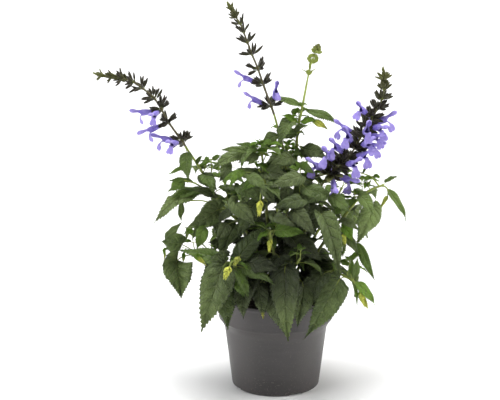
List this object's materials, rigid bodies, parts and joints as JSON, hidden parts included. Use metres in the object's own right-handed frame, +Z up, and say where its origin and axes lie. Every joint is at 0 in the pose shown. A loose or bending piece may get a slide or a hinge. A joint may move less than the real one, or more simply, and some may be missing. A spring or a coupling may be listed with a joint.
{
  "type": "perennial salvia in a nursery pot",
  "caption": "Bushy perennial sage in a round nursery pot, with drooping toothed leaves and arching spikes of dark calyces and two-lipped violet-blue flowers.",
  "frame": {"origin": "centre of the pot's foot, on the surface that it stands on", "axes": "+Z up along the pot's axis, -Y towards the front of the plant, +X to the right seen from the front"},
  "size_m": [0.4806, 0.3266, 0.6184],
  "materials": {
    "pot_plastic": "matte",
    "soil": "matte",
    "stem": "satin",
    "leaf": "matte",
    "calyx": "matte",
    "bud": "matte",
    "petal": "matte"
  },
  "bodies": {
    "root": {"nursery_pot": "pot_plastic", "potting_soil": "soil", "stem_left": "stem", "stem_middle": "stem", "stem_young": "stem", "stem_upper_left": "stem", "stem_right": "stem", "stem_side": "stem", "stem_front_left": "stem", "stem_centre": "stem", "stem_front_right": "stem", "stem_right_low": "stem", "stem_left_low": "stem", "stem_back_left": "stem", "stem_back_centre": "stem", "stem_back_right": "stem", "leaf_left_spike": "leaf", "leaf_left_large": "leaf", "leaf_left_inner": "leaf", "leaf_middle_upper": "leaf", "leaf_upper_left_long": "leaf", "leaf_young_arching": "leaf", "leaf_young_round": "leaf", "leaf_young_oval": "leaf", "leaf_right_folded": "leaf", "leaf_side_upper": "leaf", "leaf_side_large": "leaf", "leaf_side_tip": "leaf", "leaf_front_left_side": "leaf", "leaf_front_left_raised": "leaf", "leaf_front_left_hanging": "leaf", "leaf_front_left_forward": "leaf", "leaf_front_centre": "leaf", "leaf_centre_young": "leaf", "leaf_front_right_hanging": "leaf", "leaf_low_left_round": "leaf", "leaf_low_left_heart": "leaf", "leaf_back_left": "leaf", "leaf_back_centre": "leaf", "leaf_back_right": "leaf", "spike_left": "calyx", "spike_middle": "calyx", "spike_right": "calyx", "spike_young": "bud", "flower_left_1": "petal", "flower_left_2": "petal", "flower_left_3": "petal", "flower_left_4": "petal", "flower_middle_1": "petal", "flower_middle_2": "petal", "flower_middle_3": "petal", "flower_right_1": "petal", "flower_right_2": "petal", "flower_right_3": "petal", "flower_right_4": "petal", "flower_right_5": "petal", "flower_right_6": "petal", "flower_right_7": "petal", "flower_right_8": "petal", "flower_right_9": "petal"}
  },
  "joints": []
}
